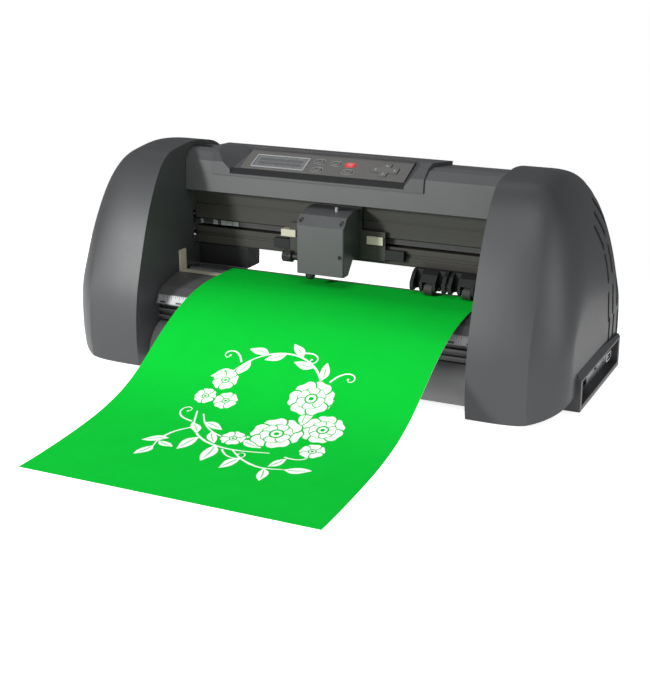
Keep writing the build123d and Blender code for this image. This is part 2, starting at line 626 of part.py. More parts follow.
with BuildPart() as feed_pinion:
    with BuildSketch(Plane.YZ.offset(GEAR_X)) as pinion_outline:
        with Locations((PINION_Y, PINION_Z)):
            add(gear_face(PINION_TEETH, PINION_ANGLE + 180 + 180 / PINION_TEETH))
    extrude(pinion_outline.sketch, amount=GEAR_W)
    rod("X", (PINION_Y, PINION_Z), SHAFT_R, (-230, GEAR_X))
write(feed_pinion, "feed_pinion")

with BuildPart() as feed_motor:
    face_x = -212.0
    across_y = (PINION_Y - half, PINION_Y + half)
    slab((face_x - MOTOR_LONG, face_x), across_y, (PINION_Z - half, PINION_Z + half))
    chamfer(feed_motor.edges().filter_by(Axis.X), 4)
    for dy, dz in ((15.5, 15.5), (15.5, -15.5), (-15.5, -15.5)):
        rod("X", (PINION_Y + dy, PINION_Z + dz), 3, (face_x, -PLATE_X - PLATE_T))
    rod("X", (PINION_Y, PINION_Z), SHAFT_R + 0.05, (-231, -200), mode=Mode.SUBTRACT)
write(feed_motor, "feed_motor")

# ------------------------------------------------------------------ pinch rollers
with BuildPart() as pinch_bar:
    rod("X", (BAR_Y, BAR_Z), BAR_R, (LEVER_X[0], 203))
write(pinch_bar, "pinch_bar")

LEVER_LONG = 118.0
with BuildPart() as lift_lever:
    reach = math.radians(LEVER_REST)
    tip_spot = (BAR_Y + LEVER_LONG * math.cos(reach), BAR_Z + LEVER_LONG * math.sin(reach))
    lever_plane = Plane.YZ.offset(LEVER_X[0])
    with BuildSketch(lever_plane) as lever_face:
        with BuildLine():
            mid_line = Line((BAR_Y, BAR_Z), tip_spot)
        with Locations(Location((*(mid_line @ 0.5), 0), (0, 0, LEVER_REST))):
            Rectangle(LEVER_LONG, 8)
        with Locations((BAR_Y, BAR_Z)):
            Circle(8)
        with Locations(tip_spot):
            Circle(7)
        with Locations((BAR_Y, BAR_Z)):
            Circle(BAR_R, mode=Mode.SUBTRACT)
    extrude(lever_face.sketch, amount=LEVER_X[1] - LEVER_X[0])
write(lift_lever, "lift_lever")

ARM_HALF = 20.0
ARM_OUTLINE = [(-3, 97), (-3, 104), (4, 112), (10, 115.5), (18, 115.5), (25, 107.2), (38, 106.8),
               (38, 113), (52, 113), (52, 102), (20, 97), (14, 94.5), (-1, 94.5)]
CARRIER_HALF = 13.0
AXLE_R = 2.0


def pinch_unit(side_name, x):
    """A carrier that slides along the bar, the arm that tilts on the bar, and its roller."""
    with BuildPart() as carrier:
        slab((x - CARRIER_HALF, x + CARRIER_HALF), (33.4, 57.6), (112.5, 126.6))
        rod("X", (BAR_Y, BAR_Z), BAR_R + 0.05, (x - 30, x + 30), mode=Mode.SUBTRACT)
    write(carrier, f"{side_name}_pinch_carrier")

    with BuildPart() as arm:
        with BuildSketch(Plane.YZ.offset(x - ARM_HALF)) as arm_face:
            with BuildLine():
                Polyline(*ARM_OUTLINE, close=True)
            make_face()
        extrude(arm_face.sketch, amount=2 * ARM_HALF)
        rod("X", (BAR_Y, BAR_Z), 7, (x - ARM_HALF, x + ARM_HALF))
        rod("X", (BAR_Y, BAR_Z), BAR_R + 0.05, (x - 30, x + 30), mode=Mode.SUBTRACT)
        carrier_gap = (x - CARRIER_HALF - GAP, x + CARRIER_HALF + GAP)
        slab(carrier_gap, (30, 60), (108, 130), mode=Mode.SUBTRACT)
        slab((x - 5.8, x + 5.8), (-10, 14.2), (80, 104.8), mode=Mode.SUBTRACT)
        # The head is lightened on both sides of the roller, down to the two cheeks.
        for low, high in ((x - 16, x - 9), (x + 9, x + 16)):
            slab((low, high), (-10, 10), (80, 120), mode=Mode.SUBTRACT)
        rod("X", (ROLLER_Y, PINCH_Z), AXLE_R + 0.05, (x - 30, x + 30), mode=Mode.SUBTRACT)
    write(arm, f"{side_name}_pinch_arm")

    with BuildPart() as roller:
        rod("X", (ROLLER_Y, PINCH_Z), PINCH_R, (x - 5, x + 5))
        fillet(roller.edges().filter_by(GeomType.CIRCLE), 0.8)
        rod("X", (ROLLER_Y, PINCH_Z), AXLE_R, (x - 12, x + 12))
    write(roller, f"{side_name}_pinch_roller")


pinch_unit("left", PINCH_X[0])
pinch_unit("right", PINCH_X[1])

# ------------------------------------------------------------------ carriage
with BuildPart() as carriage_plate:
    slab((-68, 48), (22, 25), (116, 148))
    slab((-40, 20), (22, 25), (140, 178.4))
    # The plate hooks over the top of the beam.
    slab((-40, 20), (22, 42), (BEAM_Z[1] + 0.4, 178.4))
write(carriage_plate, "carriage_plate")

SHOE_Z = (GROOVE_Z[0] + GAP, GROOVE_Z[1] - GAP)
with BuildPart() as guide_shoes:
    for low, high in ((-88, -68), (48, 70)):
        slab((low, high), (21.5, 27.6), (117.5, 128.5))
        slab((low, high), (27.6, BEAM_Y[0] + 1.7), SHOE_Z)
write(guide_shoes, "guide_shoes")

with BuildPart() as belt_clamp:
    front_run = BELT_Y - BELT_R
    clamp_x = (-78, -69)
    slab(clamp_x, (20, front_run - BELT_T / 2 - GAP), (132, 140))
    slab(clamp_x, (front_run + BELT_T / 2 + GAP, front_run + 4), (131.5, 141.5))
    slab(clamp_x, (32, front_run + 4), (BELT_Z[1] + GAP, 141.5))
    slab((-69, -60), (20, 22), (132, 140))
    # The clamp's other half, on the right wing.
    slab((27, 46), (19.6, 22), (133.5, 142.5))
write(belt_clamp, "belt_clamp")

COVER_SIDE = [(-22, 104), (-22, 157), (-13, 168), (2, 172), (21.8, 172), (21.8, 121), (3, 119), (-9, 104)]
LIFT_PIN = (0.0, 0.0)
SCREW_R = 2.6
# X, Z and front face of each screw: two in the sloping top of the front, one low on the right.
SCREWS = ((CARRIAGE_X[0] + 4, 162.5, -17.6), (CARRIAGE_X[1] - 4, 162.5, -17.6),
          (CARRIAGE_X[1] - 4, 126.0, -21.2))
with BuildPart() as carriage_cover:
    with BuildSketch(Plane.YZ.offset(CARRIAGE_X[0])) as cover_face:
        with BuildLine():
            Polyline(*COVER_SIDE, close=True)
        make_face()
    extrude(cover_face.sketch, amount=CARRIAGE_X[1] - CARRIAGE_X[0])
    fillet(carriage_cover.edges().filter_by(Axis.Z).group_by(Axis.Y)[0], 2.0)
    hollow = [(-20, 103), (-20, 156.4), (-12, 166), (2.3, 170), (22, 170), (22, 119), (4, 117), (-8, 103)]
    with BuildSketch(Plane.YZ.offset(CARRIAGE_X[0] + 2)) as hollow_face:
        with BuildLine():
            Polyline(*hollow, close=True)
        make_face()
    extrude(hollow_face.sketch, amount=CARRIAGE_X[1] - CARRIAGE_X[0] - 4, mode=Mode.SUBTRACT)
    # A slot in the left side for the clamp screw, and a hole in the top for the lift pin.
    slab((CARRIAGE_X[0] - 1, CARRIAGE_X[0] + 3), (BLADE_Y - 4, BLADE_Y + 4), (108, 125), mode=Mode.SUBTRACT)
    rod("Z", LIFT_PIN, 2.6, (165, 180), mode=Mode.SUBTRACT)
    for x, z, front in SCREWS:
        rod("Y", (x, z), SCREW_R, (-23, front + 4), mode=Mode.SUBTRACT)
write(carriage_cover, "carriage_cover")

with BuildPart() as carriage_screws:
    for x, z, front in SCREWS:
        rod("Y", (x, z), SCREW_R, (front, front + 1.8))
        rod("Y", (x, z), 1.2, (front - 1, front + 1.2), mode=Mode.SUBTRACT)
write(carriage_screws, "carriage_screws")

with BuildPart() as lift_magnet:
    slab((-12, 12), (-11, 21.9), (134, 160))
    rod("Z", LIFT_PIN, 2.0, (160, 176))
write(lift_magnet, "lift_magnet")

NOSE_Z = 96.0
TOOL_TRAVEL = 5.5
with BuildPart() as tool_slide:
    slab((TOOL_X - 8, TOOL_X + 9), (BLADE_Y - 7, BLADE_Y + 7.4), (110, 128))
    slab((TOOL_X + 9, 10), (BLADE_Y + 2, BLADE_Y + 6), (114, 124))
    rod("Z", (TOOL_X, BLADE_Y), TOOL_R, (100, 140), mode=Mode.SUBTRACT)
    rod("X", (BLADE_Y, 119), 2.05, (TOOL_X - 9, TOOL_X), mode=Mode.SUBTRACT)
write(tool_slide, "tool_slide")

with BuildPart() as blade_holder:
    rod("Z", (TOOL_X, BLADE_Y), TOOL_R, (106, 146))
    rod("Z", (TOOL_X, BLADE_Y), 3.5, (102, 106))
    rod("Z", (TOOL_X, BLADE_Y), 1.3, (100, 118), mode=Mode.SUBTRACT)
write(blade_holder, "blade_holder")

with BuildPart() as blade_nose:
    rod("Z", (TOOL_X, BLADE_Y), 5.5, (NOSE_Z + 3, 105.6))
    with Locations((TOOL_X, BLADE_Y, NOSE_Z + 1.5)):
        Cone(3.0, 5.5, 3)
    rod("Z", (TOOL_X, BLADE_Y), 3.55, (101.9, 106), mode=Mode.SUBTRACT)
    rod("Z", (TOOL_X, BLADE_Y), 1.3, (90, 106), mode=Mode.SUBTRACT)
write(blade_nose, "blade_nose")

with BuildPart() as blade:
    rod("Z", (TOOL_X, BLADE_Y), 1.2, (NOSE_Z + 1, 117.5))
    with Locations((TOOL_X, BLADE_Y, NOSE_Z - 0.5)):
        Cone(0.3, 1.2, 3)
write(blade, "blade")

with BuildPart() as clamp_screw:
    rod("X", (BLADE_Y, 119), 2.0, (-40, TOOL_X - TOOL_R - 0.3))
    rod("X", (BLADE_Y, 119), 6.5, (-58, -47.3))
    rod("X", (BLADE_Y, 119), 4.0, (-47.3, -39.0))
    with Locations(Location((-53.4, BLADE_Y, 119), (0, 90, 0))):
        with PolarLocations(6.6, 16):
            Cylinder(0.7, 7, mode=Mode.SUBTRACT)
write(clamp_screw, "clamp_screw")

# ------------------------------------------------------------------ electronics
SOCKET_X = 280.0
with BuildPart() as socket_plate:
    slab((SOCKET_X - 1.5, SOCKET_X), (NICHE_Y[0] + 0.5, NICHE_Y[1] - 0.5), (9, 34.8))
    slab((244, SOCKET_X - 1.5), (NICHE_Y[0] + 2, NICHE_Y[1] - 12), (9, 10.5))
    for y, wide, tall in ((-16, 50, 21), (46, 13, 12), (84, 20, 11)):
        slab((SOCKET_X - 5, SOCKET_X + 1), (y - wide / 2, y + wide / 2), (22 - tall / 2, 22 + tall / 2),
             mode=Mode.SUBTRACT)
write(socket_plate, "socket_plate")

INLET_Y = (-40.8, 8.8)
ROCKER_MID = (-31.0, 22.0)
with BuildPart() as power_inlet:
    slab((248, SOCKET_X + 1.2), INLET_Y, (11.7, 32.3))
    # The inlet's well with three blades, and the seat of the rocker.
    slab((SOCKET_X - 18, SOCKET_X + 6), (-14, 6.4), (15, 29), mode=Mode.SUBTRACT)
    rocker_y = (ROCKER_MID[0] - 7, ROCKER_MID[0] + 7)
    slab((SOCKET_X - 12, SOCKET_X + 6), rocker_y, (13.5, 30.5), mode=Mode.SUBTRACT)
    for dy, dz in ((-6, 0), (0, 2.5), (6, 0)):
        slab((SOCKET_X - 19, SOCKET_X - 4), (-3.8 + dy - 1, -3.8 + dy + 1), (21 + dz, 25 + dz))
write(power_inlet, "power_inlet")

with BuildPart() as rocker_switch:
    with BuildSketch(Plane.XZ.offset(-ROCKER_MID[0] - 6.4)) as rocker_face:
        with BuildLine():
            Polyline((SOCKET_X - 8, 15.4), (SOCKET_X + 1.4, 15.4), (SOCKET_X - 0.4, 22),
                     (SOCKET_X + 3.2, 28.6), (SOCKET_X - 8, 28.6), close=True)
        make_face()
    extrude(rocker_face.sketch, amount=12.8)
    rod("Y", (SOCKET_X - 4, 22), 1.5, (ROCKER_MID[0] - 6.6, ROCKER_MID[0] + 6.6))
write(rocker_switch, "rocker_switch")

with BuildPart() as usb_socket:
    slab((SOCKET_X - 16, SOCKET_X + 1), (40, 52), (16.5, 27.5))
    slab((SOCKET_X - 12, SOCKET_X + 6), (41.5, 50.5), (18, 26), mode=Mode.SUBTRACT)
    slab((SOCKET_X - 13, SOCKET_X - 1), (44, 48), (21, 23.5))
write(usb_socket, "usb_socket")

with BuildPart() as serial_socket:
    slab((SOCKET_X - 14, SOCKET_X), (74.5, 93.5), (17, 27))
    slab((SOCKET_X, SOCKET_X + 1), (68, 100), (15.5, 28.5))
    slab((SOCKET_X + 1, SOCKET_X + 6), (75, 93), (17.5, 26.5))
    slab((SOCKET_X, SOCKET_X + 8), (76, 92), (18.5, 25.5), mode=Mode.SUBTRACT)
    for column in range(5):
        rod("X", (78.5 + 2.75 * column, 23.6), 0.6, (SOCKET_X - 1, SOCKET_X + 5))
    for column in range(4):
        rod("X", (79.9 + 2.75 * column, 20.6), 0.6, (SOCKET_X - 1, SOCKET_X + 5))
write(serial_socket, "serial_socket")

with BuildPart() as mainboard:
    slab((258, 259.6), (-36, 96), (48, 140))
    # Two chips, a connector and a regulator.
    chips = ((0, 100, 22, 22, 3), (50, 110, 16, 26, 3), (30, 70, 40, 10, 8), (76, 70, 14, 20, 10))
    for y, z, wide, tall, deep in chips:
        slab((258 - deep, 258), (y - wide / 2, y + wide / 2), (z - tall / 2, z + tall / 2))
write(mainboard, "mainboard")

with BuildPart() as power_supply:
    slab((200, 240), (-50, 60), (11, 60))
    with BuildSketch(Plane.XY.offset(58)) as grille:
        with GridLocations(10, 12, 3, 7):
            SlotOverall(8, 3)
    extrude(grille.sketch.moved(Location((220, 5, 0))), amount=3, mode=Mode.SUBTRACT)
write(power_supply, "power_supply")

# ------------------------------------------------------------------ sheet of vinyl
SHEET_FRONT = -392.0
SHEET_PATH = [
    (SHEET_FRONT, 0.4), (-345, 1.6), (-298, 4.5), (-256, 9.5), (-220, 18), (-188, 31),
    (-156, 49), (-124, 66), (-92, 78.5), (-60, 85.5), (-34, 87.8),
]
with BuildPart() as vinyl_sheet:
    flat_end = (16.0, MEDIA_Z)
    upper = moved_in(SHEET_PATH, [-MEDIA_T] * len(SHEET_PATH))
    upper[-1] = (-24.0, MEDIA_Z + MEDIA_T)
    lower = [*SHEET_PATH[:-1], (-24.0, MEDIA_Z)]
    with BuildSketch(Plane.YZ.offset(SHEET_X - SHEET_W / 2)) as sheet_face:
        with BuildLine():
            Spline(*lower, tangents=((1, 0), (1, 0)))
            Line(lower[-1], flat_end)
            Line(flat_end, (flat_end[0], MEDIA_Z + MEDIA_T))
            Line((flat_end[0], MEDIA_Z + MEDIA_T), upper[-1])
            Spline(*upper, tangents=((1, 0), (1, 0)))
            Line(upper[0], lower[0])
        make_face()
    extrude(sheet_face.sketch, amount=SHEET_W)
write(vinyl_sheet, "vinyl_sheet")
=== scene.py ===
import json
import math

import bmesh
import bpy
import numpy as np
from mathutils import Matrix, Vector
from mathutils.geometry import delaunay_2d_cdt


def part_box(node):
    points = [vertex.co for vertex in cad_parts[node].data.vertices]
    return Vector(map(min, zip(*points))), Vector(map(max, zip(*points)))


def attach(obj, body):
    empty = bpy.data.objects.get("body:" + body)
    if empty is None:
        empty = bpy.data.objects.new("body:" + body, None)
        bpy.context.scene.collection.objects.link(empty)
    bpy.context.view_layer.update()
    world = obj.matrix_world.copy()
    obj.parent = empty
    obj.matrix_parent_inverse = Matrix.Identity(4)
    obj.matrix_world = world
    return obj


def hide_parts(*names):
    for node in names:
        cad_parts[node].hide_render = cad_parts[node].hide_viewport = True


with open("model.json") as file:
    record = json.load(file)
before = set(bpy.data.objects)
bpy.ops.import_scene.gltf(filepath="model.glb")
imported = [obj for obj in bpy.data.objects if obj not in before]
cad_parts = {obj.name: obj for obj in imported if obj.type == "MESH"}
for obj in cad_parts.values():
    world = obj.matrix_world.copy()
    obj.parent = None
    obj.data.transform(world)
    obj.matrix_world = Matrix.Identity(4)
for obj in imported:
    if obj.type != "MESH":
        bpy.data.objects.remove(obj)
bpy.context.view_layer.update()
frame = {"nodes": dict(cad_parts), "record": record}
NODES = frame["nodes"]
MM = 0.001
DATUM_Y = 119.5          # mm from the origin back to the machine's own datum


def at(x, y, z):
    """A point given in mm about the machine's datum, in metres in the shared frame."""
    return Vector((x, y + DATUM_Y, z)) * MM


# ------------------------------------------------------------------ camera
CAMERA_SPOT = at(595.1, -1298.5, 492.9)
CAMERA_TURN = math.radians(25.13)     # how far the camera stands round to the right
CAMERA_DIP = math.radians(18.19)      # how far it looks down
SENSOR = 36.0
LENS = 71.16

camera_data = bpy.data.cameras.new("camera")
camera_data.sensor_width = SENSOR
camera_data.lens = LENS
camera_data.clip_end = 100.0
camera = bpy.data.objects.new("camera", camera_data)
bpy.context.scene.collection.objects.link(camera)
camera.location = CAMERA_SPOT
camera.rotation_euler = (math.pi / 2 - CAMERA_DIP, 0.0, CAMERA_TURN)
bpy.context.scene.camera = camera
bpy.context.scene.view_settings.view_transform = "Standard"


# ------------------------------------------------------------------ materials
def new_material(name):
    """An empty node material, its nodes and its links."""
    made = bpy.data.materials.new(name)
    made.use_nodes = True
    tree = made.node_tree
    tree.nodes.clear()
    return made, tree.nodes, tree.links


def noise(nodes, links, scale, detail=3.0, stretch=None):
    """A noise texture on the object's own coordinates, in cycles per metre."""
    spot = nodes.new("ShaderNodeTexCoord")
    texture = nodes.new("ShaderNodeTexNoise")
    texture.inputs["Scale"].default_value = scale
    texture.inputs["Detail"].default_value = detail
    source = spot.outputs["Object"]
    if stretch:
        mapping = nodes.new("ShaderNodeMapping")
        mapping.inputs["Scale"].default_value = stretch
        links.new(source, mapping.inputs["Vector"])
        source = mapping.outputs["Vector"]
    links.new(source, texture.inputs["Vector"])
    return texture.outputs["Fac"]


def ranged(nodes, links, value, low, high, start=0.3, end=0.7):
    """value between start and end, spread from low to high."""
    node = nodes.new("ShaderNodeMapRange")
    node.inputs["From Min"].default_value = start
    node.inputs["From Max"].default_value = end
    node.inputs["To Min"].default_value = low
    node.inputs["To Max"].default_value = high
    links.new(value, node.inputs["Value"])
    return node.outputs["Result"]


def mixed(nodes, links, factor, first, second):
    """A mix of two colours, each a socket or an RGB triple."""
    node = nodes.new("ShaderNodeMix")
    node.data_type = "RGBA"
    links.new(factor, node.inputs["Factor"])
    for socket, colour in ((node.inputs[6], first), (node.inputs[7], second)):
        if isinstance(colour, tuple):
            socket.default_value = (*colour, 1.0)
        else:
            links.new(colour, socket)
    return node.outputs[2]


def scaled(colour, share):
    """A colour made lighter or darker."""
    return tuple(min(1.0, channel * share) for channel in colour)


def surface(name, colour, rough, metal=0.0, grain=1400.0, bump=0.12, depth=0.00004, mottle=0.03,
            spread=0.03, stretch=None, edge=0.0006, wear_and_highlight_lift=1.5, specular=0.5, coat=0.0):
    """A moulded, brushed or painted surface: mottled colour, uneven gloss, grain, and edges lightened partly
    as wear and partly as a painted highlight.
    """
    made, nodes, links = new_material(name)
    output = nodes.new("ShaderNodeOutputMaterial")
    shader = nodes.new("ShaderNodeBsdfPrincipled")
    links.new(shader.outputs["BSDF"], output.inputs["Surface"])
    broad = noise(nodes, links, 35.0, 4.0, stretch)
    tint = mixed(nodes, links, ranged(nodes, links, broad, 0.0, 1.0),
                 scaled(colour, 1 - mottle), scaled(colour, 1 + mottle))
    round_edge = nodes.new("ShaderNodeBevel")
    round_edge.samples = 3
    round_edge.inputs["Radius"].default_value = edge
    facing = nodes.new("ShaderNodeNewGeometry")
    dot = nodes.new("ShaderNodeVectorMath")
    dot.operation = "DOT_PRODUCT"
    links.new(round_edge.outputs["Normal"], dot.inputs[0])
    links.new(facing.outputs["Normal"], dot.inputs[1])
    # Every edge is mixed towards a lighter colour: partly edge wear, partly a painted highlight.
    edge_wear_and_highlight = ranged(nodes, links, dot.outputs["Value"], 0.75, 0.0, 0.86, 0.995)
    links.new(mixed(nodes, links, edge_wear_and_highlight, tint, scaled(colour, wear_and_highlight_lift)), shader.inputs["Base Color"])
    gloss = noise(nodes, links, 160.0, 3.0, stretch)
    links.new(ranged(nodes, links, gloss, rough - spread, rough + spread), shader.inputs["Roughness"])
    shader.inputs["Metallic"].default_value = metal
    shader.inputs["Specular IOR Level"].default_value = specular
    shader.inputs["Coat Weight"].default_value = coat
    shader.inputs["Coat Roughness"].default_value = 0.12
    relief = nodes.new("ShaderNodeBump")
    relief.inputs["Strength"].default_value = bump
    relief.inputs["Distance"].default_value = depth
    links.new(noise(nodes, links, grain, 2.0, stretch), relief.inputs["Height"])
    links.new(round_edge.outputs["Normal"], relief.inputs["Normal"])
    links.new(relief.outputs["Normal"], shader.inputs["Normal"])
    return made


ALONG_X = (0.04, 1.0, 1.0)      # brushed or extruded along the beam
LOOKS = {
    "charcoal_plastic": surface("charcoal_plastic", (0.040, 0.041, 0.043), 0.44, bump=0.25,
                                mottle=0.015, spread=0.008, specular=0.32),
    "cover_plastic": surface("cover_plastic", (0.062, 0.063, 0.065), 0.42, bump=0.18, specular=0.3),
    "console_plastic": surface("console_plastic", (0.048, 0.049, 0.051), 0.40, bump=0.10, specular=0.3),
    "black_plastic": surface("black_plastic", (0.010, 0.010, 0.011), 0.5, specular=0.25, bump=0.3, wear_and_highlight_lift=1.6),
    "steel_sheet": surface("steel_sheet", (0.52, 0.53, 0.54), 0.36, 1.0, 500.0, 0.25,
                           stretch=ALONG_X, mottle=0.12, wear_and_highlight_lift=1.2),
    "dark_steel": surface("dark_steel", (0.035, 0.035, 0.038), 0.52, 0.3, 700.0, 0.5, wear_and_highlight_lift=2.2),
    "bright_steel": surface("bright_steel", (0.66, 0.67, 0.68), 0.20, 1.0, 900.0, 0.1,
                            mottle=0.05, spread=0.08, wear_and_highlight_lift=1.1),
    "grit_steel": surface("grit_steel", (0.34, 0.34, 0.35), 0.55, 1.0, 2600.0, 0.9, 0.00015,
                          mottle=0.2, wear_and_highlight_lift=1.2),
    "aluminium": surface("aluminium", (0.26, 0.265, 0.27), 0.5, 0.5, 450.0, 0.2,
                         stretch=ALONG_X, mottle=0.1, wear_and_highlight_lift=1.15),
    "dark_aluminium": surface("dark_aluminium", (0.033, 0.031, 0.027), 0.5, 0.1, 420.0, 0.3,
                              stretch=ALONG_X, mottle=0.12, wear_and_highlight_lift=1.9, specular=0.3),
    "brass": surface("brass", (0.66, 0.47, 0.20), 0.28, 1.0, 800.0, 0.1, wear_and_highlight_lift=1.2),
    "rubber": surface("rubber", (0.020, 0.020, 0.020), 0.72, 0.0, 1100.0, 0.6, wear_and_highlight_lift=1.6),
    "belt_rubber": surface("belt_rubber", (0.028, 0.028, 0.028), 0.66, 0.0, 1500.0, 0.6),
    "beige_plastic": surface("beige_plastic", (0.42, 0.39, 0.31), 0.5, bump=0.2, wear_and_highlight_lift=1.1),
    "grey_plastic": surface("grey_plastic", (0.30, 0.30, 0.27), 0.45, bump=0.25, wear_and_highlight_lift=1.2),
    "panel_film": surface("panel_film", (0.080, 0.078, 0.075), 0.45, bump=0.2, grain=2200.0,
                          wear_and_highlight_lift=1.2),
    "display_glass": surface("display_glass", (0.055, 0.060, 0.065), 0.25, bump=0.03, coat=0.5,
                             wear_and_highlight_lift=1.1),
    "red_key": surface("red_key", (0.55, 0.030, 0.030), 0.32, bump=0.15, wear_and_highlight_lift=1.2, coat=0.3),
    "light_key": surface("light_key", (0.088, 0.086, 0.083), 0.42, bump=0.12, wear_and_highlight_lift=1.3),
    "circuit_board": surface("circuit_board", (0.015, 0.10, 0.035), 0.35, bump=0.3, mottle=0.2),
    "marks": surface("marks", (0.30, 0.31, 0.31), 0.5, bump=0.1, wear_and_highlight_lift=1.0),
    "display_cell": surface("display_cell", (0.045, 0.050, 0.054), 0.25, bump=0.03, wear_and_highlight_lift=1.0),
    "dark_metal": surface("dark_metal", (0.030, 0.030, 0.030), 0.38, 0.6, bump=0.1, wear_and_highlight_lift=1.6),
    "apron_paint": surface("apron_paint", (0.150, 0.153, 0.150), 0.36, bump=0.2, wear_and_highlight_lift=1.2),
    "platen_paint": surface("platen_paint", (0.075, 0.076, 0.075), 0.38, 0.15, 420.0, 0.2,
                            stretch=ALONG_X, wear_and_highlight_lift=1.5),
    "ink": surface("ink", (0.020, 0.020, 0.022), 0.5, bump=0.1, wear_and_highlight_lift=1.0),
    "orange_plastic": surface("orange_plastic", (0.75, 0.26, 0.03), 0.4, bump=0.15, wear_and_highlight_lift=1.1),
    "green_vinyl": surface("green_vinyl", (0.0015, 0.47, 0.031), 0.62, bump=0.10, specular=0.05, grain=260.0,
                           depth=0.00005, mottle=0.025, spread=0.05, wear_and_highlight_lift=1.0, edge=0.0001),
    "release_paper": surface("release_paper", (0.86, 0.87, 0.86), 0.62, bump=0.25, grain=900.0,
                             mottle=0.02, wear_and_highlight_lift=1.0, edge=0.0001),
}

# Nodes whose finish differs from their slot's usual look.
OWN_LOOKS = {"carriage_screws": "dark_metal", "rocker_switch": "orange_plastic",
             "front_apron": "apron_paint", "platen": "platen_paint",
             "lift_magnet": "aluminium", "blade_nose": "dark_metal",
             "guide_shoes": "black_plastic",
             "carriage_plate": "dark_aluminium", "left_guard": "black_plastic",
             "left_pinch_arm": "black_plastic", "right_pinch_arm": "black_plastic",
             "left_pinch_carrier": "black_plastic", "right_pinch_carrier": "black_plastic"}
for row in frame["record"]["subparts"]:
    for material_slot in NODES[row["node"]].material_slots:
        material_slot.material = LOOKS[OWN_LOOKS.get(row["node"], row["material_slot"])]


# ------------------------------------------------------------------ making pieces
def piece(name, mesh, look, body):
    """Links a mesh as a piece with its look and its body."""
    made = bpy.data.objects.new(name, mesh)
    bpy.context.scene.collection.objects.link(made)
    mesh.materials.append(LOOKS[look])
    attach(made, body)
    return made


def mesh_from(name, build):
    """A mesh filled by build, which adds to a bmesh."""
    mesh = bpy.data.meshes.new(name)
    work = bmesh.new()
    build(work)
    bmesh.ops.recalc_face_normals(work, faces=work.faces)
    work.to_mesh(mesh)
    work.free()
    return mesh


def prism(work, outline, low, high, place):
    """A flat-topped prism over a closed outline; place turns (a, b, height) into a point."""
    base = [work.verts.new(place(a, b, low)) for a, b in outline]
    lid = [work.verts.new(place(a, b, high)) for a, b in outline]
    count = len(outline)
    for i in range(count):
        work.faces.new((base[i], base[(i + 1) % count], lid[(i + 1) % count], lid[i]))
    work.faces.new(lid)
    work.faces.new(list(reversed(base)))


def band(work, outer, inner, low, high, place):
    """A closed band between two outlines with the same number of points."""
    rings = [[work.verts.new(place(a, b, h)) for a, b in line]
             for line, h in ((outer, low), (outer, high), (inner, high), (inner, low))]
    count = len(outer)
    for first, second in ((0, 1), (1, 2), (2, 3), (3, 0)):
        for i in range(count):
            j = (i + 1) % count
            work.faces.new((rings[first][i], rings[first][j], rings[second][j], rings[second][i]))


# ------------------------------------------------------------------ console details
PANEL_FRONT = (6.5, 209.0)
PANEL_SLOPE = math.radians(25.0)


def on_panel(x, v, height):
    """A point on the keypad: X, distance up its slope and height above its face."""
    y = PANEL_FRONT[0] + v * math.cos(PANEL_SLOPE) - height * math.sin(PANEL_SLOPE)
    z = PANEL_FRONT[1] + v * math.sin(PANEL_SLOPE) + height * math.cos(PANEL_SLOPE)
    return at(x, y, z)


def oval(x, v, wide, tall, steps=10):
    """A slot-shaped outline with round ends."""
    radius = tall / 2
    points = []
    for side in (1, -1):
        for i in range(steps + 1):
            turn = math.pi * (i / steps - side / 2)
            points.append((x + side * (wide / 2 - radius) + radius * math.cos(turn),
                           v + radius * math.sin(turn)))
    return points


def box_line(x, v, wide, tall, corner=1.0, steps=4):
    """A rectangle with rounded corners."""
    points = []
    for quarter, (sx, sv) in enumerate(((1, 1), (-1, 1), (-1, -1), (1, -1))):
        for i in range(steps + 1):
            turn = math.pi / 2 * (quarter + i / steps)
            points.append((x + sx * (wide / 2 - corner) + corner * math.cos(turn),
                           v + sv * (tall / 2 - corner) + corner * math.sin(turn)))
    return points


LCD = (-77.8, 15.0, 61.5, 19.5)
KEYS = {"menu_key": (-32.5, 22.0), "enter_key": (-12.0, 21.0), "stop_key": (5.0, 20.5),
        "test_key": (-30.0, 7.5), "pause_key": (6.4, 8.0)}
KEY_SIZE = (11.0, 6.0)
PAD = (47.0, 16.5)


def lcd_frame(work):
    x, v, wide, tall = LCD
    band(work, box_line(x, v, wide + 3.6, tall + 3.6, 1.6), box_line(x, v, wide + 0.6, tall + 0.6, 0.6),
         -0.1, 0.35, on_panel)


CELL_COLUMNS = 16
CELL_PITCH, CELL_ROW = 3.3, 3.4          # spacing of the character cells, in mm
CELL_SIZE = (2.6, 5.0)


def lcd_cells(work):
    x, v = LCD[:2]
    for column in range(CELL_COLUMNS):
        for row in (-1, 1):
            spot = (x + (column - (CELL_COLUMNS - 1) / 2) * CELL_PITCH, v + row * CELL_ROW)
            prism(work, box_line(*spot, *CELL_SIZE, 0.25, 2), -0.25, -0.14, on_panel)


def key_rings(work):
    for x, v in KEYS.values():
        if (x, v) != KEYS["stop_key"]:
            band(work, oval(x, v, KEY_SIZE[0] + 3.2, KEY_SIZE[1] + 3.2),
                 oval(x, v, KEY_SIZE[0] + 2.2, KEY_SIZE[1] + 2.2), -0.1, 0.2, on_panel)


def stop_ring(work):
    x, v = KEYS["stop_key"]
    band(work, oval(x, v, KEY_SIZE[0] + 3.2, KEY_SIZE[1] + 3.2),
         oval(x, v, KEY_SIZE[0] + 1.6, KEY_SIZE[1] + 1.6), -0.1, 0.2, on_panel)


piece("lcd_frame", mesh_from("lcd_frame", lcd_frame), "marks", "machine")
piece("lcd_cells", mesh_from("lcd_cells", lcd_cells), "display_cell", "machine")
piece("key_rings", mesh_from("key_rings", key_rings), "marks", "machine")
piece("stop_ring", mesh_from("stop_ring", stop_ring), "red_key", "machine")


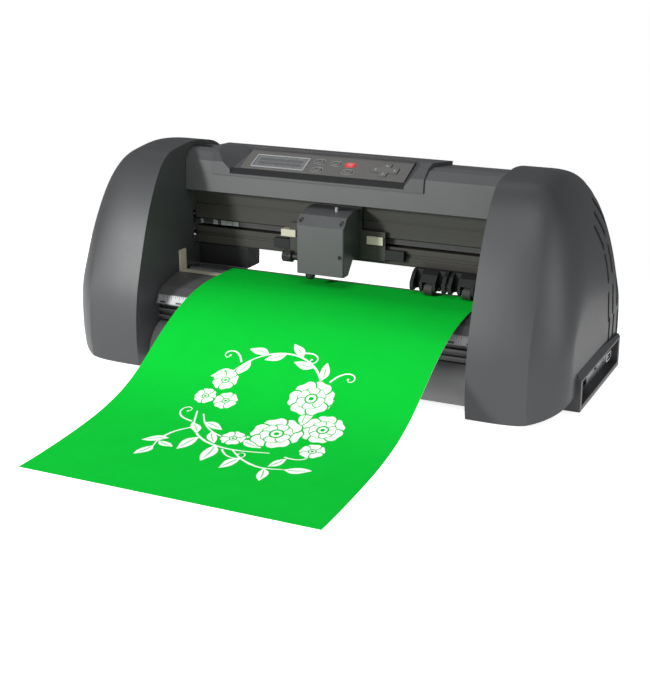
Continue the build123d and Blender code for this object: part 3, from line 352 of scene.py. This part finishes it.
GUTTER_X = (-131, 76)
GUTTER_EDGES = [(-0.35, -1.60), (-6.6, -4.72)]   # distance up the slope and height, rear and front
GUTTER_LIFT = (0.03, 0.30)                       # how far its two faces stand off the gutter


def gutter_painted_shade(work):
    """A black strip in the gutter between the panel's front edge and the low front rim: painted shade where
    the gutter lies dark.
    """
    corners = [(x, *edge) for edge, row in zip(GUTTER_EDGES, (GUTTER_X, GUTTER_X[::-1])) for x in row]
    lower, upper = ([work.verts.new(on_panel(x, v, h + lift)) for x, v, h in corners]
                    for lift in GUTTER_LIFT)
    for i in range(4):
        j = (i + 1) % 4
        work.faces.new((lower[i], lower[j], upper[j], upper[i]))
    work.faces.new(upper)
    work.faces.new(lower[::-1])


# The gutter's shade, painted as a black strip.
piece("gutter_painted_shade", mesh_from("gutter_painted_shade", gutter_painted_shade), "black_plastic", "machine")

KEY_TOP = 1.1            # how far the keys and the arrow pad stand above the panel, in mm
PAD_TOP = 0.9
ICONS = {
    "menu_key": [[(-2.2, b), (2.2, b), (2.2, b + 0.5), (-2.2, b + 0.5)] for b in (-1.35, -0.25, 0.85)],
    "enter_key": [[(-2.4, 0), (-0.9, -1.2), (-0.9, -0.35), (-0.9, -0.3), (2.2, -0.3),
                   (2.2, 0.3), (-0.9, 0.3), (-0.9, 1.2)]],
    "stop_key": [[(-1.1, -1.1), (1.1, -1.1), (1.1, 1.1), (-1.1, 1.1)]],
    "test_key": [[(-1.0, -1.3), (1.5, 0), (-1.0, 1.3)]],
    "pause_key": [[(-1.3, -1.2), (-0.5, -1.2), (-0.5, 1.2), (-1.3, 1.2)],
                  [(0.5, -1.2), (1.3, -1.2), (1.3, 1.2), (0.5, 1.2)]],
}
for key, shapes in ICONS.items():
    def icon(work, key=key, shapes=shapes):
        x, v = KEYS[key]
        for shape in shapes:
            prism(work, [(x + a, v + b) for a, b in shape], KEY_TOP - 0.05, KEY_TOP + 0.06, on_panel)
    look = "marks" if key == "stop_key" else "ink"
    piece(key + "_icon", mesh_from(key + "_icon", icon), look, key + "_body")


def pad_arrows(work):
    for turn in range(4):
        angle = math.pi / 2 * turn
        reach = 11.0 if turn % 2 == 0 else 7.4
        shape = [(reach + 1.6, 0), (reach - 0.9, 1.7), (reach - 0.9, -1.7)]
        turned = [(PAD[0] + a * math.cos(angle) - b * math.sin(angle),
                   PAD[1] + a * math.sin(angle) + b * math.cos(angle)) for a, b in shape]
        prism(work, turned, PAD_TOP - 0.05, PAD_TOP + 0.06, on_panel)


piece("pad_arrows", mesh_from("pad_arrows", pad_arrows), "marks", "arrow_pad_body")


# ------------------------------------------------------------------ belt marks and ruler
BELT_MARKS = ((-189, -186), (-172.5, -166.5), (-162, -155), (-154.4, -147.5), (-146.9, -139.5))
BELT_MARK_Z = (133.3, 138.7)
BELT_MARK_Y = (33.0, 33.3)


def belt_marks(work):
    low_z, high_z = BELT_MARK_Z
    for low, high in BELT_MARKS:
        prism(work, [(low, low_z), (high, low_z), (high, high_z), (low, high_z)], *BELT_MARK_Y,
              lambda x, z, y: at(x, y, z))


piece("belt_marks", mesh_from("belt_marks", belt_marks), "marks", "machine")

RULER_LOW, RULER_HIGH = (-71.3, 64.2), (-66.6, 73.0)
RULER_LIFT = 0.8


def on_ruler(x, v, height):
    """A point on the ruler strip: X, share of its height and distance out of its face."""
    dy, dz = RULER_HIGH[0] - RULER_LOW[0], RULER_HIGH[1] - RULER_LOW[1]
    size = math.hypot(dy, dz)
    out = RULER_LIFT + height
    return at(x, RULER_LOW[0] + dy * v - dz / size * out, RULER_LOW[1] + dz * v + dy / size * out)


def ruler_ticks(work):
    for step in range(-73, 74):
        x = step * 2.5
        long = 0.42 if step % 4 == 0 else (0.28 if step % 2 == 0 else 0.18)
        prism(work, [(x - 0.25, 0.97 - long), (x + 0.25, 0.97 - long), (x + 0.25, 0.97), (x - 0.25, 0.97)],
              -0.05, 0.06, on_ruler)
    for step in range(-18, 19):
        x = step * 10.0
        if step % 2 == 0:
            prism(work, [(x - 3.4, 0.08), (x + 3.4, 0.08), (x + 3.4, 0.30), (x - 3.4, 0.30)],
                  -0.05, 0.06, on_ruler)


piece("ruler_ticks", mesh_from("ruler_ticks", ruler_ticks), "ink", "machine")


# ------------------------------------------------------------------ the sheet and its design
def sheet_profile():
    """The upper edge line of the CAD sheet, front to back, as (Y, Z) in metres."""
    mesh = NODES["vinyl_sheet"].data
    left = min(vertex.co.x for vertex in mesh.vertices) + 1e-5
    spots = set()
    for face in mesh.polygons:
        if face.normal.z > 0.5:
            for index in face.vertices:
                spot = mesh.vertices[index].co
                if spot.x < left:
                    spots.add((round(spot.y, 6), round(spot.z, 6)))
    return sorted(spots)


def arc_table(points):
    """Distances along a line of points, starting at 0."""
    table = [0.0]
    for first, second in zip(points, points[1:]):
        table.append(table[-1] + math.dist(first, second))
    return table


PROFILE = sheet_profile()
ARC = arc_table(PROFILE)
SHEET_LONG = ARC[-1]
SHEET_LOW, SHEET_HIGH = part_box("vinyl_sheet")
SHEET_X0, SHEET_WIDE = SHEET_LOW[0], SHEET_HIGH[0] - SHEET_LOW[0]


def along_sheet(distance):
    """(Y, Z) and the outward normal at a distance from the sheet's front edge."""
    spots = []
    for d in (distance - 0.0015, distance, distance + 0.0015):
        d = min(max(d, 0.0), SHEET_LONG)
        i = 0
        while i < len(ARC) - 2 and ARC[i + 1] < d:
            i += 1
        share = (d - ARC[i]) / (ARC[i + 1] - ARC[i])
        spots.append([a + (b - a) * share for a, b in zip(PROFILE[i], PROFILE[i + 1])])
    dy, dz = spots[2][0] - spots[0][0], spots[2][1] - spots[0][1]
    size = math.hypot(dy, dz)
    return spots[1], (-dz / size, dy / size)


def on_sheet(u, v, height):
    """A point on the sheet: u from its left edge, v from its front edge, height above it."""
    (y, z), (ny, nz) = along_sheet(v)
    return Vector((SHEET_X0 + u, y + ny * height, z + nz * height))


def smooth_line(points, closed, steps=6):
    """A Catmull-Rom line through control points."""
    count = len(points)
    spans = count if closed else count - 1
    result = []
    for i in range(spans):
        if closed:
            p = [points[(i + k) % count] for k in (-1, 0, 1, 2)]
        else:
            p = [points[max(0, min(count - 1, i + k))] for k in (-1, 0, 1, 2)]
        for step in range(steps):
            t = step / steps
            result.append(tuple(
                0.5 * (2 * p[1][c] + (p[2][c] - p[0][c]) * t
                       + (2 * p[0][c] - 5 * p[1][c] + 4 * p[2][c] - p[3][c]) * t * t
                       + (3 * p[1][c] - p[0][c] - 3 * p[2][c] + p[3][c]) * t ** 3)
                for c in (0, 1)))
    if not closed:
        result.append(tuple(points[-1]))
    return result


def stroke(points, start, middle, end, steps=6):
    """The outline of a stem that swells from start to middle and tapers to end."""
    line = smooth_line(points, False, steps)
    left, right = [], []
    last = len(line) - 1
    for i, (a, b) in enumerate(line):
        before, after = line[max(0, i - 1)], line[min(last, i + 1)]
        da, db = after[0] - before[0], after[1] - before[1]
        size = math.hypot(da, db) or 1.0
        t = i / last
        if t < 0.5:
            wide = start + (middle - start) * t * 2
        else:
            wide = middle + (end - middle) * (2 * t - 1)
        left.append((a - db / size * wide / 2, b + da / size * wide / 2))
        right.append((a + db / size * wide / 2, b - da / size * wide / 2))
    return left + right[::-1]


def leaf(a, b, angle, long, wide, bend=0.15):
    """A pointed leaf from its stalk at (a, b), with its vein."""
    turn = math.radians(angle)
    edge, vein = [], []
    profile = [(0.0, 0.0), (0.12, 0.16), (0.30, 0.42), (0.52, 0.50), (0.72, 0.38), (0.88, 0.18),
               (1.0, 0.0)]
    for side in (1, -1):
        row = profile if side == 1 else profile[-2:0:-1]
        for t, w in row:
            across = side * w * wide + bend * long * math.sin(math.pi * t / 2) ** 2 * t
            edge.append((a + t * long * math.cos(turn) - across * math.sin(turn),
                         b + t * long * math.sin(turn) + across * math.cos(turn)))
    for t in (0.18, 0.4, 0.6, 0.8):
        across = bend * long * math.sin(math.pi * t / 2) ** 2 * t
        vein.append((a + t * long * math.cos(turn) - across * math.sin(turn),
                     b + t * long * math.sin(turn) + across * math.cos(turn)))
    return [(smooth_line(edge, True, 3), True), (stroke(vein, 0.5, 0.7, 0.25, 3), False)]


def petal(a, b, angle, start, long, wide):
    """A round petal that starts some way from the flower's middle and has a notch at its tip."""
    turn = math.radians(angle)
    shape = [(0.0, -0.10), (0.35, -0.42), (0.72, -0.50), (0.96, -0.30), (0.93, 0.0), (0.96, 0.30),
             (0.72, 0.50), (0.35, 0.42), (0.0, 0.10)]
    points = []
    for t, w in shape:
        r, across = start + t * long, w * wide
        points.append((a + r * math.cos(turn) - across * math.sin(turn),
                       b + r * math.sin(turn) + across * math.cos(turn)))
    return smooth_line(points, True, 3)


def disc(a, b, radius, steps=18):
    """A round outline."""
    return [(a + radius * math.cos(2 * math.pi * i / steps), b + radius * math.sin(2 * math.pi * i / steps))
            for i in range(steps)]


def flower(a, b, radius, petals, turn, rows=2):
    """An open flower: rows of petals parted by thin lines, round a ringed middle."""
    shapes = []
    for row in range(rows):
        size = radius * (1 - 0.38 * row)
        wide = 2 * math.pi * size / petals * 0.86
        for i in range(petals):
            angle = turn + 360 / petals * (i + 0.5 * row)
            shapes.append((petal(a, b, angle, size * 0.16, size * 0.90, wide * 1.16), False))
            shapes.append((petal(a, b, angle, size * 0.20, size * 0.82, wide), True))
    middle = radius * (0.30 if rows == 2 else 0.34)
    shapes += [(disc(a, b, middle), False), (disc(a, b, middle * 0.76), True)]
    shapes += [(disc(a, b, middle * 0.36, 12), False)]
    return shapes


def curl(a, b, angle, size, hand):
    """A tendril that winds up at its end."""
    points = []
    heading = math.radians(angle)
    step = size / 5
    for i in range(15):
        points.append((a, b))
        a += step * math.cos(heading)
        b += step * math.sin(heading)
        heading += hand * (0.10 + 0.055 * i)
        step *= 0.93
    return [(stroke(points, 2.2, 1.6, 0.8, 2), True), (disc(*points[-1], 1.3, 10), True)]


DESIGN_SHIFT = (3.0, 15.0)      # moves the whole design on the sheet, in mm


RING_MIDDLE = (150, 176)         # the oval of stem that the design grows round, in mm
RING_RADII = (57, 66)


def on_ring(angle):
    """The point of the oval stem at an angle in degrees."""
    turn = math.radians(angle)
    return (RING_MIDDLE[0] + RING_RADII[0] * math.cos(turn),
            RING_MIDDLE[1] + RING_RADII[1] * math.sin(turn))


def design():
    """A generic spray of open flowers, leaves and tendrils, in mm from the sheet's corner.

    Each shape is an outline and whether the film is weeded away there; later ones lie on top.
    """
    shapes = []
    ring = [on_ring(t) for t in range(-150, 151, 15)]
    stems = [
        ring,
        [(92, 146), (104, 118), (128, 98), (160, 92), (196, 98)],
        [(104, 120), (90, 106), (84, 88), (86, 72)],
        [(160, 92), (178, 78), (200, 70), (222, 74)],
    ]
    for line in stems:
        shapes.append((stroke(line, 1.6, 2.8, 1.4, 4), True))
    for i, t in enumerate(range(-136, 150, 19)):
        ca, cb = on_ring(t)
        side = 1 if i % 2 else -1
        shapes += leaf(ca, cb, t + (52 if side > 0 else 128), 24, 10, 0.16 * side)
    for spot in ((92, 92, 196, 26, 11, 0.2), (86, 74, 262, 24, 11, -0.2), (85, 84, 330, 20, 9, 0.2),
                 (118, 104, 246, 30, 13, 0.15), (140, 96, 284, 34, 14, -0.15),
                 (112, 110, 120, 22, 10, 0.2), (176, 80, 236, 26, 12, 0.2),
                 (204, 70, 300, 24, 11, -0.2), (222, 74, 4, 26, 12, 0.2), (206, 74, 58, 22, 10, 0.1)):
        shapes += leaf(*spot)
    for spot in ((96, 128, 168, 26, -1), (150, 90, 310, 26, 1), (206, 214, 60, 24, -1),
                 (104, 222, 120, 22, 1), (212, 96, 350, 22, 1), (160, 244, 20, 22, -1)):
        shapes += curl(*spot)
    shapes += flower(196, 190, 23, 6, 12)
    shapes += flower(226, 150, 21, 6, 40)
    shapes += flower(186, 132, 25, 6, 0)
    shapes += flower(98, 196, 13, 5, 10, 1)
    shapes += flower(112, 168, 12, 5, 40, 1)
    shapes += flower(88, 170, 11, 5, 25, 1)
    shapes += flower(150, 112, 12, 5, 5, 1)
    shapes += flower(232, 114, 12, 5, 30, 1)
    return [([(a + DESIGN_SHIFT[0], b + DESIGN_SHIFT[1]) for a, b in line], weeded)
            for line, weeded in shapes]


FILM_T, LINER_T = 0.00018, 0.0003
GRID = 0.006


def weeded_spots(spots, shapes):
    """For each (u, v), whether the film is weeded away there: the last shape round it decides."""
    gone = np.zeros(len(spots), bool)
    for line, weeded in shapes:
        corners = np.array(line)
        near = np.nonzero(np.all((spots > corners.min(0)) & (spots < corners.max(0)), axis=1))[0]
        u, v = spots[near].T
        winding = np.zeros(len(near), int)
        for (u0, v0), (u1, v1) in zip(corners, np.roll(corners, -1, axis=0)):
            side = (u1 - u0) * (v - v0) - (u - u0) * (v1 - v0)
            winding += (v0 <= v) & (v1 > v) & (side > 0)
            winding -= (v0 > v) & (v1 <= v) & (side < 0)
        gone[near[winding != 0]] = weeded
    return gone


def sheet_solid(name, spots, faces, top, thickness):
    """A thin solid that follows the sheet: faces over (u, v) spots, from top down by thickness."""
    used = sorted({index for face in faces for index in face})
    place = {index: i for i, index in enumerate(used)}
    faces = [[place[index] for index in face] for face in faces]
    count = len(used)
    points, normals = [], []
    for index in used:
        u, v = spots[index]
        points.append(on_sheet(u, v, top))
        ny, nz = along_sheet(v)[1]
        normals.append(Vector((0, ny, nz)))
    points += [point - normal * thickness for point, normal in zip(points, normals)]
    edges = {}
    for face in faces:
        for i, j in zip(face, face[1:] + face[:1]):
            edges[(i, j)] = True
    walls = [[i, i + count, j + count, j] for i, j in edges if (j, i) not in edges]
    under = [[index + count for index in reversed(face)] for face in faces]
    mesh = bpy.data.meshes.new(name)
    mesh.from_pydata(points, [], faces + under + walls)
    mesh.shade_smooth()
    loops = [normals[index] for face in faces for index in face]
    loops += [-normals[index - count] for face in under for index in face]
    for face in mesh.polygons[2 * len(faces):]:
        loops += [face.normal] * 4
    mesh.normals_split_custom_set(loops)
    return mesh


def film_mesh():
    """The film, cut through along the design, with rows of points that let it follow the sheet."""
    shapes = [([(a * MM, b * MM) for a, b in line], weeded) for line, weeded in design()]
    rows = round(SHEET_LONG / GRID)
    points = [(u, SHEET_LONG * i / rows) for i in range(rows + 1) for u in (0, SHEET_WIDE)]
    edges = [(2 * i, 2 * i + 1) for i in range(rows + 1)]
    edges += [(i, i + 2) for i in range(2 * rows)]
    for line, weeded in shapes:
        first, count = len(points), len(line)
        edges += [(first + i, first + (i + 1) % count) for i in range(count)]
        points += line
    result = delaunay_2d_cdt([Vector(p) for p in points], edges, [], 0, 1e-7)
    spots, triangles = np.array([tuple(p) for p in result[0]]), np.array(result[2])
    gone = weeded_spots(spots[triangles].mean(axis=1), shapes)
    corners = spots[triangles]
    first, second = corners[:, 1] - corners[:, 0], corners[:, 2] - corners[:, 0]
    turned = first[:, 0] * second[:, 1] - first[:, 1] * second[:, 0] < 0
    triangles[turned] = triangles[turned][:, ::-1]
    return sheet_solid("vinyl_film", spots, triangles[~gone].tolist(), 0.0, FILM_T), corners, gone


def liner_mesh():
    """The backing paper, a plain grid under the film."""
    rows, columns = round(SHEET_LONG / GRID), 24
    spots = [(SHEET_WIDE * j / columns, SHEET_LONG * i / rows)
             for i in range(rows + 1) for j in range(columns + 1)]
    faces = [[i * (columns + 1) + j, i * (columns + 1) + j + 1, (i + 1) * (columns + 1) + j + 1,
              (i + 1) * (columns + 1) + j] for i in range(rows) for j in range(columns)]
    return sheet_solid("release_liner", spots, faces, -FILM_T - 0.00002, LINER_T)


film_solid, film_corners, film_gone = film_mesh()
film = piece("vinyl_film", film_solid, "green_vinyl", "media")
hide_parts("vinyl_sheet")
liner = piece("release_liner", liner_mesh(), "release_paper", "media")

# ------------------------------------------------------------------ floor, lights, world
FLOOR_X, FLOOR_FRONT, FLOOR_REAR = 1.3, -1.5, 0.5   # half its width, its front and its rear edge
floor_mesh = bpy.data.meshes.new("floor")
floor_mesh.from_pydata([(-FLOOR_X, FLOOR_FRONT, 0), (FLOOR_X, FLOOR_FRONT, 0),
                        (FLOOR_X, FLOOR_REAR, 0), (-FLOOR_X, FLOOR_REAR, 0)], [], [(0, 1, 2, 3)])
floor = bpy.data.objects.new("floor", floor_mesh)
bpy.context.scene.collection.objects.link(floor)
floor_look, floor_nodes, floor_links = new_material("floor")
floor_out = floor_nodes.new("ShaderNodeOutputMaterial")
floor_shader = floor_nodes.new("ShaderNodeBsdfPrincipled")
floor_shader.inputs["Base Color"].default_value = (0.80, 0.80, 0.80, 1.0)
floor_shader.inputs["Roughness"].default_value = 0.9
floor_shader.inputs["Specular IOR Level"].default_value = 0.1
floor_shader.inputs["Emission Color"].default_value = (1.0, 1.0, 1.0, 1.0)
floor_shader.inputs["Emission Strength"].default_value = 0.84
floor_links.new(floor_shader.outputs["BSDF"], floor_out.inputs["Surface"])
floor_mesh.materials.append(floor_look)


def area_light(name, spot, target, size, power):
    """A rectangular soft light at spot that faces target."""
    data = bpy.data.lights.new(name, "AREA")
    data.shape = "RECTANGLE"
    data.size, data.size_y = size
    data.energy = power
    lamp = bpy.data.objects.new(name, data)
    bpy.context.scene.collection.objects.link(lamp)
    lamp.location = spot
    lamp.rotation_euler = (Vector(target) - Vector(spot)).to_track_quat("-Z", "Y").to_euler()


# Name, place, target, size and power of each light.
LIGHTS = (
    ("key", (-1.10, -1.75, 0.80), (0.0, 0.1, 0.1), (0.25, 0.25), 50),
    ("top", (-0.5, 0.9, 2.0), (0.0, -0.15, 0.0), (1.4, 1.0), 5),
    ("overhead", (0.1, -1.0, 1.5), (0.0, -0.4, 0.0), (0.9, 0.5), 9),
    ("front_strip", (-0.8, -1.9, 0.5), (0.0, 0.1, 0.12), (1.6, 0.40), 6),
    ("right_strip", (1.7, -0.25, 0.45), (0.25, 0.1, 0.12), (0.7, 0.6), 9),
)
for light in LIGHTS:
    area_light(*light)

world = bpy.data.worlds.new("studio")
bpy.context.scene.world = world
world.use_nodes = True
world_nodes, world_links = world.node_tree.nodes, world.node_tree.links
world_nodes.clear()
world_out = world_nodes.new("ShaderNodeOutputWorld")
seen, felt = world_nodes.new("ShaderNodeBackground"), world_nodes.new("ShaderNodeBackground")
seen.inputs["Strength"].default_value = 1.0
seen.inputs["Color"].default_value = (1.0, 1.0, 1.0, 1.0)
felt.inputs["Strength"].default_value = 0.24
felt.inputs["Color"].default_value = (0.96, 0.98, 1.0, 1.0)
ray, choice = world_nodes.new("ShaderNodeLightPath"), world_nodes.new("ShaderNodeMixShader")
world_links.new(ray.outputs["Is Camera Ray"], choice.inputs["Fac"])
world_links.new(felt.outputs["Background"], choice.inputs[1])
world_links.new(seen.outputs["Background"], choice.inputs[2])
world_links.new(choice.outputs["Shader"], world_out.inputs["Surface"])
